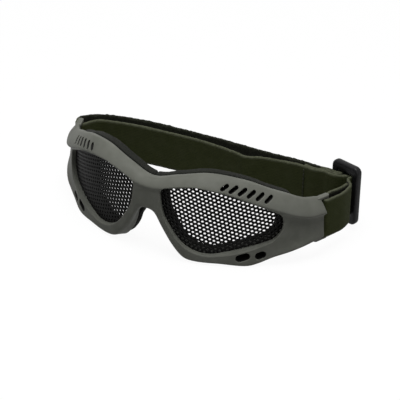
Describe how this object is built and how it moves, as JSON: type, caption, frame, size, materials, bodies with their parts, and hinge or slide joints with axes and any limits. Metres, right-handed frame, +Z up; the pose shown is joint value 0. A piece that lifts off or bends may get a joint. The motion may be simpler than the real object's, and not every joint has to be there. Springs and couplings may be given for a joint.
{
  "type": "mesh goggles",
  "caption": "Wraparound goggles with perforated steel lenses in a vented moulded frame, foam pads and an elastic strap shortened by a sliding buckle.",
  "frame": {"origin": "middle of the underside of the nose arch, at the front", "axes": "+X to the wearer's left, +Y towards the back of the head, +Z up"},
  "size_m": [0.1802, 0.0981, 0.0562],
  "materials": {
    "frame": "fine matte",
    "lens": "satin black",
    "foam": "open-cell foam",
    "strap": "brushed elastic",
    "thread": "sewing thread",
    "slider": "satin"
  },
  "bodies": {
    "goggles": {"frame_shell": "frame", "lens_left": "lens", "lens_right": "lens", "foam_left": "foam", "foam_right": "foam", "strap": "strap", "end_loop_stitching": "thread"},
    "slider": {"slider": "slider", "slider_loop_stitching": "thread"}
  },
  "joints": [
    {"name": "strap_adjust", "type": "slide", "parent": "goggles", "child": "slider", "axis": [0.9977, 0.068, 0], "range_m": [-0.03, 0.002], "deforming": ["strap"]}
  ]
}
